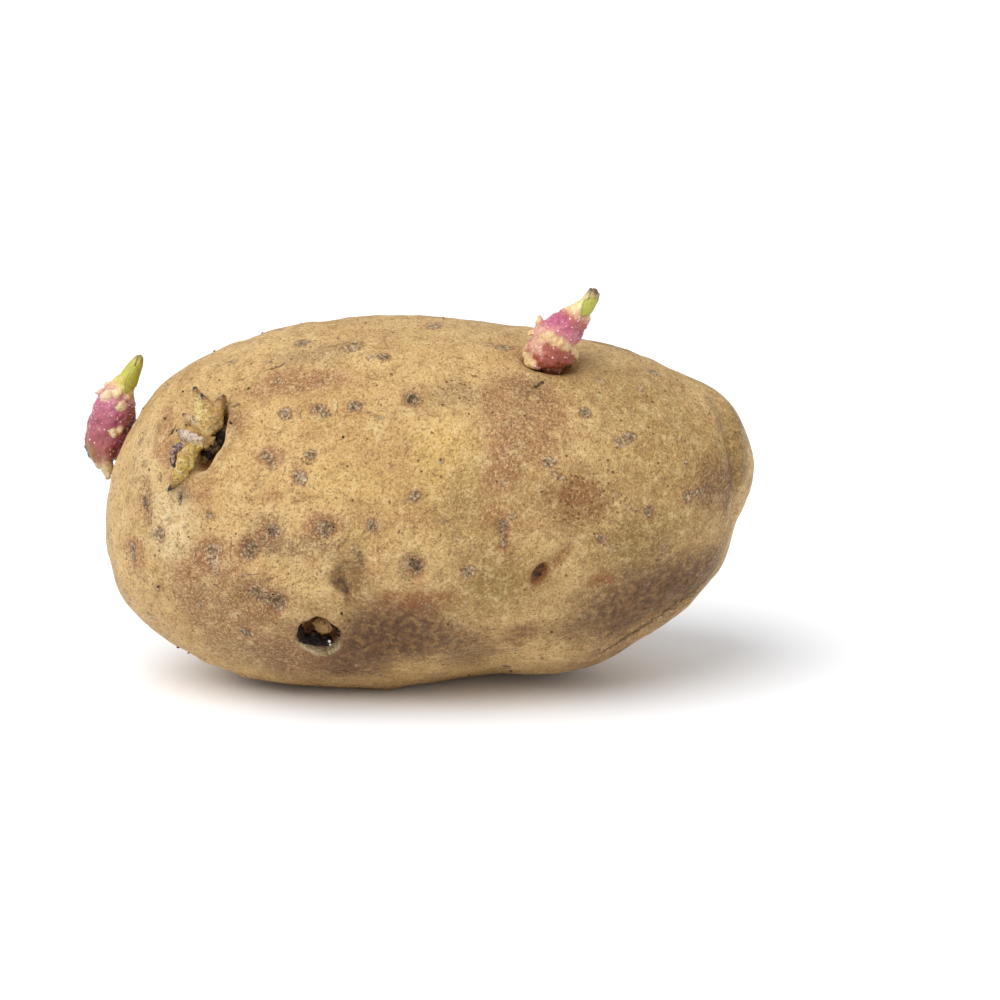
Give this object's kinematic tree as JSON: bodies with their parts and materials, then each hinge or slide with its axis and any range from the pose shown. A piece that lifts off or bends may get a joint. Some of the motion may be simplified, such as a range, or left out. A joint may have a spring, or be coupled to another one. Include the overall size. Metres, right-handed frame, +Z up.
{
  "type": "sprouting potato",
  "caption": "Whole raw potato lying on its side, stout and oval, with eyes and dents, young purple sprouts with leaf buds, a withered older sprout and a dead bud in a pit.",
  "frame": {"origin": "middle of the bounding box on the plane that the potato lies on", "axes": "+X along the tuber towards its tapering end, +Z up, and the side with the pit and the withered sprout faces -Y"},
  "size_m": [0.1136, 0.0596, 0.0697],
  "materials": {
    "potato_skin": "dry tan potato skin, matt with a faint sheen, brown scars and corky spots",
    "sprout_skin": "fresh pink to purple sprout skin, moist and satin, with pale root nubs",
    "bud_leaf": "folded yellow-green bud leaves, satin",
    "withered_sprout": "withered straw-yellow sprout, waxy, with dry brown tips",
    "dead_tissue": "shrivelled black-brown dead bud, matt"
  },
  "bodies": {
    "root": {"tuber": "potato_skin", "crown_sprout_stem": "sprout_skin", "crown_sprout_bud": "bud_leaf", "end_sprout_stem": "sprout_skin", "end_sprout_bud": "bud_leaf", "withered_sprout_upper": "withered_sprout", "withered_sprout_lower": "withered_sprout", "dead_bud": "dead_tissue"}
  },
  "joints": []
}
